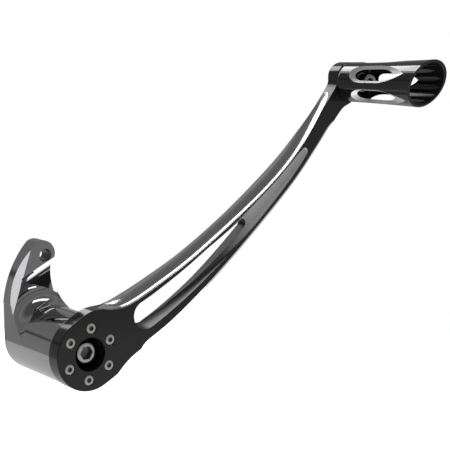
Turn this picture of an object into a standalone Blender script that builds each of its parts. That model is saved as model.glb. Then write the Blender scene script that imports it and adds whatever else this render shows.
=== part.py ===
"""Rear brake arm of a touring motorcycle, with its pivot, its linkage ear and its tubular toe peg.

A flat contrast-cut arm is screwed to the front of a turned hub. The hub swings on a shaft that is bolted
to the frame, and the ear on the hub's back end pulls the push rod of the master cylinder.

The pivot axis is the Y axis. +Y points at the motorcycle, -Y out to the rider's foot, +X along the arm to the
toe peg, +Z up. The origin is the centre of the end face of the shaft's stud. Sizes are in metres.
"""

import math

import bmesh
import bpy
from mathutils import Vector

# ---- clearances between pieces ---------------------------------------------------------------------------
GAP = 0.0003  # between pieces that touch, and round each screw and pin in its hole
RUNNING_GAP = 0.0003  # round the shaft in its bushes

# ---- shares and lengths that like pieces have in common --------------------------------------------------
CUTTER_OVERRUN = 0.0020  # how far a cutter runs past the face that it starts from
SCREW_RIM = 0.08  # chamfer on a socket screw's head, as a share of the head's radius
SCREW_TIP = 0.20  # chamfer on its tip, as a share of the shank's radius
SCREW_KEY_DEPTH = 0.55  # depth of its hexagon socket, as a share of the head's height
PIN_CHAMFER = 0.15  # chamfer on a dowel's or a stud's end, as a share of its radius

# ---- pivot shaft, which the frame holds ------------------------------------------------------------------
STUD_RADIUS = 0.0060
STUD_LENGTH = 0.0160
FLANGE_RADIUS = 0.0150
FLANGE_THICKNESS = 0.0035
SHAFT_RADIUS = 0.0080
THRUST_WASHER_RADIUS = 0.0150
THRUST_WASHER_THICKNESS = 0.0015

# ---- bushes, seals and the screw that keeps the hub on its shaft -----------------------------------------
BUSH_WALL = 0.0015
BUSH_LENGTH = 0.0200
PIVOT_SCREW_HEAD_RADIUS = 0.00715
PIVOT_SCREW_HEAD_HEIGHT = 0.0095
PIVOT_SCREW_RADIUS = 0.00476
PIVOT_SCREW_GRIP = 0.0270
PIVOT_SCREW_KEY = 0.0079
PIVOT_WASHER_THICKNESS = 0.0020
PIVOT_WASHER_LIP = 0.0014  # how far the washer reaches past the bush, over the hub

# ---- hub and its ear -------------------------------------------------------------------------------------
HUB_RADIUS = 0.0245
HUB_LENGTH = 0.0617
HUB_CHAMFER = 0.0008
THRUST_FACE_RADIUS = 0.0165  # the ring round the bore that runs on the thrust washer
THRUST_FACE_HEIGHT = 0.0005  # how far it stands proud of the ear's back
EAR_THICKNESS = 0.0130
EAR_FILLET = 0.0130
EAR_TIP_RADIUS = 0.0098
EAR_REACH = 0.0590  # pivot axis to the centre of the ear's round tip
EAR_TIP_X = -0.0004
EAR_SHOULDER = (-0.0248, 0.0262)  # where the ear's long curved back leaves the barrel's side
EAR_BACK_BULGE = (-0.0183, 0.830)  # X of the curved back, and its height as a share of the reach
EAR_FRONT_HOLLOW = (0.0090, 0.635)  # the same for the hollow front edge
HUB_MILLED_EXTRA = 0.00005  # how far the milled outline stands proud of the turned barrel
HUB_RECESS_DEPTH = 0.0050
CLEVIS_HOLE_RADIUS = 0.0041
CLEVIS_HOLE_CHAMFER = 0.0006
CLEVIS_HOLE_OFFSET = (0.0022, -0.0009)  # from the middle of the ear's round tip
EAR_EDGE_TOP = (-0.0115, 0.0571)  # two points on the front face, on the inner line of the chamfer that
EAR_EDGE_FOOT = (-0.0243, 0.0196)  # runs down the ear's long back edge
EAR_EDGE_SLOPE = math.radians(45)
SCOOP_DEPTH = 0.0050  # how far the ear is thinned between its tip and its foot
SCOOP_RUN = 0.0095  # how far the curved wall under the scoop's upper edge reaches down to its floor
SCOOP_TILT = math.radians(26)
SCOOP_TOP = 0.0467  # pivot axis to the scoop's straight upper edge
SCOOP_LOW = 0.0230
SCOOP_LEFT = 0.0044  # the upper edge's left end, along the edge from the point nearest the pivot axis
SCOOP_LEFT_SLOPE = 0.88  # how far the left wall moves along the edge for each unit down
SCOOP_LIP = (-0.0066, 0.0158)  # middle of the round lip that bounds the scoop below
SCOOP_LIP_RADIUS = 0.0213

# ---- arm -------------------------------------------------------------------------------------------------
ARM_REACH = 0.2350  # pivot axis to peg axis along X
ARM_RISE = 0.1756  # and along Z
ARM_THICKNESS = 0.0117
ARM_HEAD_RADIUS = 0.0250
ARM_BEVEL = 0.0008
PEG_BOSS_RADIUS = 0.0150
ARM_BORE_RADIUS = 0.0115  # the opening in the head that shows the pivot screw
# Middle line of the arm from the pivot to the peg, as shares of the reach and of the rise, and half its width.
ARM_MIDDLE = (
    (0.000, 0.000, ARM_HEAD_RADIUS),
    (0.048, 0.034, 0.0249),
    (0.103, 0.065, 0.0206),
    (0.169, 0.104, 0.0192),
    (0.255, 0.161, 0.0181),
    (0.383, 0.263, 0.0154),
    (0.553, 0.425, 0.0124),
    (0.723, 0.610, 0.0101),
    (0.830, 0.751, 0.0085),
    (0.902, 0.858, 0.0075),
    (0.945, 0.922, 0.0081),
    (0.973, 0.955, 0.0106),
    (0.988, 0.977, 0.0134),
    (1.000, 1.000, PEG_BOSS_RADIUS),
)

# ---- flutes cut in the arm -------------------------------------------------------------------------------
FLUTE_RADIUS = 0.0100
# The top flute: share of the arm's reach, depth below the upper edge, and its middle behind the front face.
TOP_FLUTE = (
    (0.055, -0.0012, 0.0020),
    (0.077, 0.0005, 0.0020),
    (0.111, 0.0036, 0.0020),
    (0.145, 0.0057, 0.0020),
    (0.200, 0.0061, 0.0020),
    (0.372, 0.0051, 0.0020),
    (0.522, 0.0048, 0.0020),
    (0.650, 0.0056, 0.0020),
    (0.740, 0.0052, 0.0020),
    (0.811, 0.0041, 0.0028),
    (0.880, 0.0018, 0.0050),
    (0.930, 0.0010, 0.0072),
    (0.955, -0.0008, 0.0075),
)
EDGE_COVE_RADIUS = 0.0040
EDGE_COVE_WIDTH = 0.0026  # of the lower flute on the arm's face
EDGE_COVE_DEPTH = 0.0022  # and along the arm's edge
EDGE_COVE_START = 0.125  # shares of the reach
EDGE_COVE_END = 0.920
EDGE_COVE_RUN_OUT = 0.045
# The middle flute: share of the arm's reach, offset up from the middle line, half width and depth.
MIDDLE_FLUTE = (
    (0.1906, 0.0000, 0.0100, 0.0177),
    (0.2850, 0.0000, 0.0094, 0.0130),
    (0.3890, 0.0000, 0.0086, 0.0082),
    (0.4750, -0.0003, 0.0078, 0.0045),
    (0.5630, -0.0007, 0.0068, 0.0031),
    (0.6730, -0.0006, 0.0053, 0.0026),
    (0.7680, -0.0001, 0.0040, 0.0017),
    (0.8020, -0.0002, 0.0029, 0.0010),
)
# The slot through the middle flute's floor: share of the reach, offset and half width.
SLOT = (
    (0.1906, 0.0000, 0.0074),
    (0.2850, 0.0000, 0.0071),
    (0.3890, 0.0001, 0.0063),
    (0.4750, 0.0003, 0.0050),
    (0.5575, 0.0003, 0.0033),
)

# ---- screws and dowels that join the arm to the hub ------------------------------------------------------
ARM_SCREW_COUNT = 6
ARM_SCREW_CIRCLE = 0.0175  # radius of the ring of screws
ARM_SCREW_FIRST = math.radians(26.2)
ARM_SCREW_HEAD_RADIUS = 0.00355
ARM_SCREW_HEAD_HEIGHT = 0.0040
ARM_SCREW_SUNK = 0.0002  # the heads' faces behind the arm's face
ARM_SCREW_RADIUS = 0.0020
ARM_SCREW_GRIP = 0.0180
ARM_SCREW_KEY = 0.0030
DOWEL_RADIUS = 0.0020
DOWEL_LENGTH = 0.0120

# ---- toe peg ---------------------------------------------------------------------------------------------
PEG_ROOT_RADIUS = 0.0150
PEG_MOUTH_RADIUS = 0.0171
PEG_LENGTH = 0.0770  # root to the middle of the slanted mouth
PEG_MOUTH_SLANT_UP = 0.417  # how much longer the peg grows for each unit up
PEG_MOUTH_SLANT_ALONG = 0.090  # and for each unit along +X
PEG_WALL = 0.0022
PEG_WEB = 0.0100
PEG_ROOT_CHAMFER = 0.0010
PEG_SLOT_COUNT = 5
PEG_SLOT_FIRST = math.radians(9)
# Each slot's bevelled wall runs from a narrow opening inside the peg to a wide one outside.
# Each opening has its start, its length, half of its angle, and how blunt its point is.
PEG_SLOT_INSIDE = (0.0165, 0.0390, math.radians(20.5), 3.5)
PEG_SLOT_OUTSIDE = (0.0117, 0.0560, math.radians(26.5), 1.8)
PEG_SLOT_ROUND_END = 0.22  # shares of a slot's length, up to where its sides start to close
PEG_SLOT_STRAIGHT = 0.50
PEG_SCREW_HEAD_RADIUS = 0.0064
PEG_SCREW_HEAD_HEIGHT = 0.0080
PEG_SCREW_RADIUS = 0.0040
PEG_SCREW_GRIP = 0.0210
PEG_SCREW_KEY = 0.0060
PEG_WASHER_RADIUS = 0.0074
PEG_WASHER_THICKNESS = 0.0018
PEG_DOWEL_RADIUS = 0.0020
PEG_DOWEL_LENGTH = 0.0100
PEG_DOWEL_OFFSET = 0.0100

# ---- where each piece starts, along the pivot axis -------------------------------------------------------
SEAT_Y = -STUD_LENGTH
FLANGE_FRONT_Y = SEAT_Y - FLANGE_THICKNESS
THRUST_WASHER_Y = FLANGE_FRONT_Y - GAP
THRUST_FACE_Y = THRUST_WASHER_Y - THRUST_WASHER_THICKNESS - GAP
HUB_BACK_Y = THRUST_FACE_Y - THRUST_FACE_HEIGHT
EAR_FRONT_Y = HUB_BACK_Y - EAR_THICKNESS
HUB_FRONT_Y = HUB_BACK_Y - HUB_LENGTH
ARM_BACK_Y = HUB_FRONT_Y - GAP
ARM_FRONT_Y = ARM_BACK_Y - ARM_THICKNESS
PEG_ROOT_Y = ARM_FRONT_Y - GAP

BUSH_INNER_RADIUS = SHAFT_RADIUS + RUNNING_GAP
BUSH_OUTER_RADIUS = BUSH_INNER_RADIUS + BUSH_WALL
BUSH_SEAT_RADIUS = BUSH_OUTER_RADIUS + GAP
SEAL_SECTION_RADIUS = BUSH_WALL / 2
SEAL_RING_RADIUS = BUSH_INNER_RADIUS + SEAL_SECTION_RADIUS
PIVOT_WASHER_RADIUS = BUSH_SEAT_RADIUS + PIVOT_WASHER_LIP
HUB_LEDGE_Y = HUB_FRONT_Y + HUB_RECESS_DEPTH
SHAFT_FRONT_Y = HUB_LEDGE_Y
PIVOT_WASHER_Y = HUB_LEDGE_Y - GAP
PIVOT_HEAD_Y = PIVOT_WASHER_Y - PIVOT_WASHER_THICKNESS - GAP

PEG_X = ARM_REACH
PEG_Z = ARM_RISE
ROUND = 48  # sides of a large round piece
SMALL_ROUND = 24  # sides of a screw


# ---- shapes ----------------------------------------------------------------------------------------------


def smooth_curve(points, steps):
    """A smooth curve through the points, whatever number of values each holds, with steps to each span."""
    padded = [points[0], *points, points[-1]]
    curve = []
    for before, start, end, after in zip(padded, padded[1:], padded[2:], padded[3:]):
        for step in range(steps):
            t = step / steps
            weights = (
                (-t + 2 * t**2 - t**3) / 2,
                (2 - 5 * t**2 + 3 * t**3) / 2,
                (t + 4 * t**2 - 3 * t**3) / 2,
                (-(t**2) + t**3) / 2,
            )
            places = zip(before, start, end, after)
            curve.append(tuple(sum(w * v for w, v in zip(weights, values)) for values in places))
    curve.append(tuple(points[-1]))
    return curve


def arc(centre, radius, start, end, steps):
    """Points on an arc in the XZ plane, both ends included, with angles from +X towards +Z."""
    angles = [start + (end - start) * step / steps for step in range(steps + 1)]
    return [(centre[0] + radius * math.cos(a), centre[1] + radius * math.sin(a)) for a in angles]


def arc_through(start, middle, end, steps):
    """Points on the circle through three points, from the first to the last."""
    ax, az = start
    bx, bz = middle
    cx, cz = end
    twice = 2 * (ax * (bz - cz) + bx * (cz - az) + cx * (az - bz))
    a2, b2, c2 = ax**2 + az**2, bx**2 + bz**2, cx**2 + cz**2
    x = (a2 * (bz - cz) + b2 * (cz - az) + c2 * (az - bz)) / twice
    z = (a2 * (cx - bx) + b2 * (ax - cx) + c2 * (bx - ax)) / twice
    first = math.atan2(az - z, ax - x)
    last = math.atan2(cz - z, cx - x)
    inside = math.atan2(bz - z, bx - x)
    turn = (last - first) % math.tau
    if (inside - first) % math.tau > turn:
        turn -= math.tau
    return arc((x, z), math.hypot(ax - x, az - z), first, first + turn, steps)


def material(name, colour, roughness, metallic):
    made = bpy.data.materials.new(name)
    made.use_nodes = True
    shader = made.node_tree.nodes["Principled BSDF"]
    shader.inputs["Base Color"].default_value = (*colour, 1)
    shader.inputs["Roughness"].default_value = roughness
    shader.inputs["Metallic"].default_value = metallic
    return made


def finish(name, shape, made_of=None):
    """The bmesh as an object, with its faces pointing out and its round sides shaded smooth."""
    bmesh.ops.recalc_face_normals(shape, faces=shape.faces)
    mesh = bpy.data.meshes.new(name)
    shape.to_mesh(mesh)
    shape.free()
    mesh.shade_smooth()
    mesh.set_sharp_from_angle(angle=math.radians(30))
    piece = bpy.data.objects.new(name, mesh)
    bpy.context.scene.collection.objects.link(piece)
    if made_of:
        mesh.materials.append(made_of)
    return piece


def prism(name, outline, front, back, made_of=None):
    """An outline in the XZ plane, extruded along Y from front to back."""
    shape = bmesh.new()
    face = shape.faces.new([shape.verts.new((x, front, z)) for x, z in outline])
    grown = bmesh.ops.extrude_face_region(shape, geom=[face])
    moved = [v for v in grown["geom"] if isinstance(v, bmesh.types.BMVert)]
    bmesh.ops.translate(shape, verts=moved, vec=(0, back - front, 0))
    return finish(name, shape, made_of)


def turned(name, profile, sides, made_of=None, centre=(0, 0)):
    """A closed profile of (radius, y) turned about an axis along Y through centre."""
    shape = bmesh.new()
    points = [shape.verts.new((radius, y, 0)) for radius, y in profile]
    for start, end in zip(points, points[1:] + points[:1]):
        if start.co.x > 0 or end.co.x > 0:
            shape.edges.new((start, end))
    bmesh.ops.spin(
        shape,
        geom=[*shape.verts, *shape.edges],
        cent=(0, 0, 0),
        axis=(0, 1, 0),
        angle=math.tau,
        steps=sides,
        use_merge=True,
    )
    bmesh.ops.remove_doubles(shape, verts=shape.verts, dist=1e-6)
    bmesh.ops.translate(shape, verts=shape.verts, vec=(centre[0], 0, centre[1]))
    return finish(name, shape, made_of)


def lofted(name, rings):
    """A closed solid through rings of points, each with as many points as the others, with flat ends."""
    shape = bmesh.new()
    rows = [[shape.verts.new(point) for point in ring] for ring in rings]
    for row, after in zip(rows, rows[1:]):
        for place, point in enumerate(row):
            following = (place + 1) % len(row)
            shape.faces.new((point, row[following], after[following], after[place]))
    shape.faces.new(rows[0])
    shape.faces.new(rows[-1])
    return finish(name, shape)


def cut(piece, cutter, operation="DIFFERENCE"):
    """Cuts the cutter from the piece and keeps the cutter as a hidden guide."""
    cutter.hide_render = True
    cutter.display_type = "WIRE"
    boolean = piece.modifiers.new(cutter.name, "BOOLEAN")
    boolean.operation = operation
    boolean.object = cutter
    return piece


def bevelled(piece, width, angle):
    bevel = piece.modifiers.new("edge bevel", "BEVEL")
    bevel.width = width
    bevel.segments = 1
    bevel.limit_method = "ANGLE"
    bevel.angle_limit = angle
    return piece


def hole(name, radius, front, back, centre, sides=SMALL_ROUND):
    return turned(name, [(0, front), (radius, front), (radius, back), (0, back)], sides, centre=centre)


def socket_screw(name, centre, face, head, shank, grip, key, made_of):
    """A socket-head screw along +Y. head is (radius, height), face the Y of the head's outer face."""
    head_radius, head_height = head
    rim = head_radius * SCREW_RIM
    chamfer = shank * SCREW_TIP
    under = face + head_height
    tip = under + grip
    profile = [
        (0, face),
        (head_radius - rim, face),
        (head_radius, face + rim),
        (head_radius, under),
        (shank, under),
        (shank, tip - chamfer),
        (shank - chamfer, tip),
        (0, tip),
    ]
    screw = turned(name, profile, SMALL_ROUND, made_of, centre)
    corner = key / 2 / math.cos(math.pi / 6)
    bottom = face + head_height * SCREW_KEY_DEPTH
    return cut(screw, hole(f"{name} key", corner, face - CUTTER_OVERRUN, bottom, centre, sides=6))


# ---- the arm's edges -------------------------------------------------------------------------------------


def arm_line(share):
    """(x, z, half width, direction) of the arm's middle line at a share of its stations' length."""
    stations = [(x * ARM_REACH, z * ARM_RISE, half) for x, z, half in ARM_MIDDLE]
    curve = smooth_curve(stations, 8)
    place = next((i for i, point in enumerate(curve[1:-1], 1) if point[0] >= share * ARM_REACH), 1)
    low, high = curve[place - 1], curve[place]
    part = (share * ARM_REACH - low[0]) / (high[0] - low[0])
    x, z, half = (a + (b - a) * part for a, b in zip(low, high))
    wide_low, wide_high = curve[max(place - 2, 0)], curve[min(place + 1, len(curve) - 1)]
    return x, z, half, Vector((wide_high[0] - wide_low[0], wide_high[1] - wide_low[1])).normalized()


def tapered_outline(stations, end_steps=8):
    """The outline swept by a circle of changing radius along stations of (x, z, radius)."""
    upper, lower, ways = [], [], []
    last = len(stations) - 1
    for place, (x, z, radius) in enumerate(stations):
        before, after = stations[max(place - 1, 0)], stations[min(place + 1, last)]
        way = Vector((after[0] - before[0], after[1] - before[1])).normalized()
        ways.append(math.atan2(way.y, way.x))
        upper.append((x - way.y * radius, z + way.x * radius))
        lower.append((x + way.y * radius, z - way.x * radius))
    quarter = math.pi / 2
    x, z, radius = stations[-1]
    far_end = arc((x, z), radius, ways[-1] - quarter, ways[-1] + quarter, end_steps)
    x, z, radius = stations[0]
    near_end = arc((x, z), radius, ways[0] + quarter, ways[0] + 3 * quarter, end_steps)
    return lower[1:-1] + far_end + upper[-2:0:-1] + near_end


def on_arm(stations, steps):
    """Stations of (share, offset, ...) placed on the arm, as (x, z, ...), with steps to each span."""
    placed = []
    for share, offset, *rest in smooth_curve(stations, steps):
        x, z, _, way = arm_line(share)
        placed.append((x - way.y * offset, z + way.x * offset, *rest))
    return placed


# ---- pieces that the frame holds -------------------------------------------------------------------------


def make_pivot_shaft():
    tapped = PIVOT_SCREW_RADIUS + GAP
    bottom = PIVOT_HEAD_Y + PIVOT_SCREW_HEAD_HEIGHT + PIVOT_SCREW_GRIP + 2 * GAP
    chamfer = STUD_RADIUS * PIN_CHAMFER
    profile = [
        (0, 0),
        (STUD_RADIUS - chamfer, 0),
        (STUD_RADIUS, -chamfer),
        (STUD_RADIUS, SEAT_Y),
        (FLANGE_RADIUS, SEAT_Y),
        (FLANGE_RADIUS, FLANGE_FRONT_Y),
        (SHAFT_RADIUS, FLANGE_FRONT_Y),
        (SHAFT_RADIUS, SHAFT_FRONT_Y),
        (tapped, SHAFT_FRONT_Y),
        (tapped, bottom),
        (0, bottom),
    ]
    turned("pivot_shaft", profile, ROUND, material("shaft_steel", (0.42, 0.42, 0.43), 0.35, 1.0))


def ring(name, inner, outer, front, back, made_of):
    profile = [(inner, front), (outer, front), (outer, back), (inner, back)]
    return turned(name, profile, ROUND, made_of)


def make_pivot_fasteners():
    ring(
        "thrust_washer",
        SHAFT_RADIUS + GAP,
        THRUST_WASHER_RADIUS,
        THRUST_WASHER_Y - THRUST_WASHER_THICKNESS,
        THRUST_WASHER_Y,
        material("thrust_bronze", (0.55, 0.38, 0.18), 0.35, 1.0),
    )
    ring(
        "pivot_washer",
        PIVOT_SCREW_RADIUS + GAP,
        PIVOT_WASHER_RADIUS,
        PIVOT_WASHER_Y - PIVOT_WASHER_THICKNESS,
        PIVOT_WASHER_Y,
        material("blackened_washer", (0.02, 0.02, 0.02), 0.4, 0.6),
    )
    socket_screw(
        "pivot_screw",
        (0, 0),
        PIVOT_HEAD_Y - PIVOT_SCREW_HEAD_HEIGHT,
        (PIVOT_SCREW_HEAD_RADIUS, PIVOT_SCREW_HEAD_HEIGHT),
        PIVOT_SCREW_RADIUS,
        PIVOT_SCREW_GRIP,
        PIVOT_SCREW_KEY,
        material("bright_screw_steel", (0.62, 0.62, 0.62), 0.25, 1.0),
    )


# ---- pieces that swing -----------------------------------------------------------------------------------


def make_bushes_and_seals():
    bronze = material("bush_bronze", (0.60, 0.42, 0.20), 0.4, 1.0)
    rubber = material("seal_rubber", (0.02, 0.02, 0.02), 0.7, 0.0)
    seal_width = 2 * SEAL_SECTION_RADIUS
    places = (
        ("front", HUB_LEDGE_Y + GAP, HUB_LEDGE_Y + 2 * GAP + seal_width),
        ("rear", HUB_BACK_Y - GAP - seal_width, HUB_BACK_Y - 2 * GAP - seal_width - BUSH_LENGTH),
    )
    for end, seal_front, bush_front in places:
        middle = seal_front + SEAL_SECTION_RADIUS
        section = arc((SEAL_RING_RADIUS, middle), SEAL_SECTION_RADIUS, 0, math.tau * 9 / 10, 9)
        turned(f"seal_{end}", section, ROUND, rubber)
        ring(
            f"bush_{end}",
            BUSH_INNER_RADIUS,
            BUSH_OUTER_RADIUS,
            bush_front,
            bush_front + BUSH_LENGTH,
            bronze,
        )


def arm_screw_places():
    step = math.tau / ARM_SCREW_COUNT
    angles = [ARM_SCREW_FIRST + step * place for place in range(ARM_SCREW_COUNT)]
    return [(ARM_SCREW_CIRCLE * math.cos(a), ARM_SCREW_CIRCLE * math.sin(a)) for a in angles]


def dowel_places():
    """Two dowels on the ring of screws, opposite each other, each halfway between two screws."""
    angle = ARM_SCREW_FIRST - math.pi / ARM_SCREW_COUNT
    x, z = ARM_SCREW_CIRCLE * math.cos(angle), ARM_SCREW_CIRCLE * math.sin(angle)
    return [(x, z), (-x, -z)]


def ear_outline():
    """The hub seen along its axis: the barrel's circle, and the ear that rises from it to a round tip."""
    tip = (EAR_TIP_X, EAR_REACH)
    top = arc(tip, EAR_TIP_RADIUS, math.radians(122), math.radians(-5), 14)
    bulge_x, bulge_share = EAR_BACK_BULGE
    hollow_x, hollow_share = EAR_FRONT_HOLLOW
    left = arc_through(EAR_SHOULDER, (bulge_x, EAR_REACH * bulge_share), top[0], 10)
    radius = HUB_RADIUS + HUB_MILLED_EXTRA
    barrel = arc((0, 0), radius, math.radians(42), -math.pi, 32)
    right = arc_through(top[-1], (hollow_x, EAR_REACH * hollow_share), barrel[0], 12)
    foot = (-radius, EAR_SHOULDER[1] - 0.0014)
    return [foot, *left[:-1], *top, *right[1:-1], *barrel]


def make_hub():
    """A turned blank with the fillet at the ear's foot, milled to the ear's outline and then drilled."""
    reach = EAR_REACH + 2 * EAR_TIP_RADIUS
    fillet_y = EAR_FRONT_Y - EAR_FILLET
    fillet = arc(
        (HUB_RADIUS + EAR_FILLET, fillet_y), EAR_FILLET, math.pi, math.pi / 2, 8
    )
    profile = [
        (0, HUB_FRONT_Y),
        (HUB_RADIUS - HUB_CHAMFER, HUB_FRONT_Y),
        (HUB_RADIUS, HUB_FRONT_Y + HUB_CHAMFER),
        *fillet,
        (reach, EAR_FRONT_Y),
        (reach, HUB_BACK_Y),
        (THRUST_FACE_RADIUS, HUB_BACK_Y),
        (THRUST_FACE_RADIUS, THRUST_FACE_Y),
        (0, THRUST_FACE_Y),
    ]
    hub = turned("hub", profile, ROUND, material("dark_chrome", (0.30, 0.30, 0.31), 0.06, 1.0))
    over = CUTTER_OVERRUN
    outline = prism("ear outline", ear_outline(), HUB_FRONT_Y - over, HUB_BACK_Y + over)
    cut(hub, outline, "INTERSECT")
    bore = [
        (0, HUB_FRONT_Y - over),
        (PIVOT_WASHER_RADIUS + GAP, HUB_FRONT_Y - over),
        (PIVOT_WASHER_RADIUS + GAP, HUB_LEDGE_Y),
        (BUSH_SEAT_RADIUS, HUB_LEDGE_Y),
        (BUSH_SEAT_RADIUS, HUB_BACK_Y + over),
        (0, HUB_BACK_Y + over),
    ]
    cut(hub, turned("hub bore", bore, ROUND))
    for place, centre in enumerate(arm_screw_places(), 1):
        depth = ARM_SCREW_GRIP - ARM_THICKNESS + ARM_SCREW_HEAD_HEIGHT + ARM_SCREW_SUNK + 0.001
        tapped = ARM_SCREW_RADIUS + GAP
        cut(hub, hole(f"hub tapping {place}", tapped, HUB_FRONT_Y - over, HUB_FRONT_Y + depth, centre))
    for place, centre in enumerate(dowel_places(), 1):
        depth = DOWEL_LENGTH / 2 + GAP
        reamed = DOWEL_RADIUS + GAP
        cut(hub, hole(f"hub dowel {place}", reamed, HUB_FRONT_Y - over, HUB_FRONT_Y + depth, centre))
    rim = CLEVIS_HOLE_RADIUS + CLEVIS_HOLE_CHAMFER
    clevis = [
        (0, EAR_FRONT_Y - CLEVIS_HOLE_CHAMFER),
        (rim + CLEVIS_HOLE_CHAMFER, EAR_FRONT_Y - CLEVIS_HOLE_CHAMFER),
        (CLEVIS_HOLE_RADIUS, EAR_FRONT_Y + CLEVIS_HOLE_CHAMFER),
        (CLEVIS_HOLE_RADIUS, HUB_BACK_Y - CLEVIS_HOLE_CHAMFER),
        (rim + CLEVIS_HOLE_CHAMFER, HUB_BACK_Y + CLEVIS_HOLE_CHAMFER),
        (0, HUB_BACK_Y + CLEVIS_HOLE_CHAMFER),
    ]
    cut(hub, turned("clevis hole", clevis, SMALL_ROUND, centre=clevis_hole_place()))
    cut(hub, make_scoop())
    cut(hub, make_ear_edge())
    return hub


def clevis_hole_place():
    return (EAR_TIP_X + CLEVIS_HOLE_OFFSET[0], EAR_REACH + CLEVIS_HOLE_OFFSET[1])


def make_ear_edge():
    """Chamfers the front of the ear along its long back edge, and squares off the foot of the fillet there."""
    top, foot = Vector(EAR_EDGE_TOP), Vector(EAR_EDGE_FOOT)
    way = (top - foot).normalized()
    outwards = Vector((-way.y, way.x))
    reach = EAR_THICKNESS / 2
    section = [
        (0, EAR_FRONT_Y),
        (reach, EAR_FRONT_Y + reach * math.tan(EAR_EDGE_SLOPE)),
        (reach, EAR_FRONT_Y - EAR_FILLET),
        (0, EAR_FRONT_Y - EAR_FILLET),
    ]
    rings = []
    for end in (foot - way * EAR_TIP_RADIUS, top + way * 2 * EAR_TIP_RADIUS):
        corners = [(end + outwards * out, y) for out, y in section]
        rings.append([(corner.x, y, corner.y) for corner, y in corners])
    return lofted("ear edge", rings)


def make_scoop():
    """Thins the front of the ear between a straight edge under the tip and a round lip over the fillet."""
    along = Vector((math.cos(SCOOP_TILT), 0, math.sin(SCOOP_TILT)))
    across = Vector((-math.sin(SCOOP_TILT), 0, math.cos(SCOOP_TILT)))
    open_y = EAR_FRONT_Y - EAR_FILLET
    floor_y = EAR_FRONT_Y + SCOOP_DEPTH
    angles = [math.pi / 2 * step / 10 for step in range(10, -1, -1)]
    wall = [
        (SCOOP_TOP - SCOOP_RUN * (1 - math.cos(a)), EAR_FRONT_Y + SCOOP_DEPTH * math.sin(a)) for a in angles
    ]
    section = [(SCOOP_LOW, open_y), (SCOOP_LOW, floor_y), *wall, (SCOOP_TOP, open_y)]
    left_end, right_end = [], []
    for distance, y in section:
        left = SCOOP_LEFT - SCOOP_LEFT_SLOPE * (SCOOP_TOP - distance)
        foot = across * distance + Vector((0, y, 0))
        left_end.append(along * left + foot)
        right_end.append(along * 2 * HUB_RADIUS + foot)
    scoop = lofted("scoop", [left_end, right_end])
    over = CUTTER_OVERRUN
    return cut(scoop, hole("scoop lip", SCOOP_LIP_RADIUS, open_y - over, floor_y + over, SCOOP_LIP, ROUND))


def make_top_flute():
    """A round cutter run along the arm's upper edge, from the head up to the neck of the peg boss."""
    rings = []
    for share, depth, behind in smooth_curve(TOP_FLUTE, 4):
        x, z, half, way = arm_line(share)
        centre_out = half - depth + FLUTE_RADIUS
        ring_points = []
        for side in range(24):
            angle = math.tau * side / 24
            out = centre_out + FLUTE_RADIUS * math.cos(angle)
            y = ARM_FRONT_Y + behind + FLUTE_RADIUS * math.sin(angle)
            ring_points.append((x - way.y * out, y, z + way.x * out))
        rings.append(ring_points)
    return lofted("top flute", rings)


def make_edge_cove():
    """A small round cutter run along the arm's lower front edge, which leaves a narrow cove."""
    rings = []
    chord = math.hypot(EDGE_COVE_WIDTH, EDGE_COVE_DEPTH)
    lift = math.sqrt(EDGE_COVE_RADIUS**2 - chord**2 / 4)
    centre_in = EDGE_COVE_WIDTH / 2 - lift * EDGE_COVE_DEPTH / chord
    centre_back = EDGE_COVE_DEPTH / 2 - lift * EDGE_COVE_WIDTH / chord
    steps = 36
    for step in range(steps + 1):
        share = EDGE_COVE_START + (EDGE_COVE_END - EDGE_COVE_START) * step / steps
        from_end = min(share - EDGE_COVE_START, EDGE_COVE_END - share)
        lift_off = 1.2 * EDGE_COVE_DEPTH * max(0, 1 - from_end / EDGE_COVE_RUN_OUT) ** 2
        x, z, half, way = arm_line(share)
        ring_points = []
        for side in range(12):
            angle = math.tau * side / 12
            out = half - centre_in + lift_off + EDGE_COVE_RADIUS * math.cos(angle)
            y = ARM_FRONT_Y + centre_back - lift_off + EDGE_COVE_RADIUS * math.sin(angle)
            ring_points.append((x + way.y * out, y, z - way.x * out))
        rings.append(ring_points)
    return lofted("edge cove", rings)


def make_middle_flute():
    """A dished pocket with round ends, which is deepest at the head and runs out towards the peg."""
    stations = on_arm(MIDDLE_FLUTE, 4)
    first, second, last, before_last = stations[0], stations[1], stations[-1], stations[-2]
    start_way = Vector((first[0] - second[0], first[1] - second[1])).normalized()
    end_way = Vector((last[0] - before_last[0], last[1] - before_last[1])).normalized()

    def round_end(station, way, part):
        x, z, half, depth = station
        reach, shrink = half * math.sin(part), math.cos(part)
        return (x + way.x * reach, z + way.y * reach, half * shrink, depth * shrink)

    parts = [math.radians(angle) for angle in (20, 40, 58, 72, 84)]
    stations = (
        [round_end(first, start_way, part) for part in reversed(parts)]
        + stations
        + [round_end(last, end_way, part) for part in parts]
    )
    rings = []
    for place, (x, z, half, depth) in enumerate(stations):
        before, after = stations[max(place - 1, 0)], stations[min(place + 1, len(stations) - 1)]
        way = Vector((after[0] - before[0], after[1] - before[1])).normalized()
        ring_points = []
        for side in range(13):
            angle = math.pi * side / 12
            offset, y = half * math.cos(angle), ARM_FRONT_Y + depth * math.sin(angle)
            ring_points.append((x - way.y * offset, y, z + way.x * offset))
        for offset in (-half, half):
            ring_points.append((x - way.y * offset, ARM_FRONT_Y - CUTTER_OVERRUN, z + way.x * offset))
        rings.append(ring_points)
    return lofted("middle flute", rings)


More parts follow.
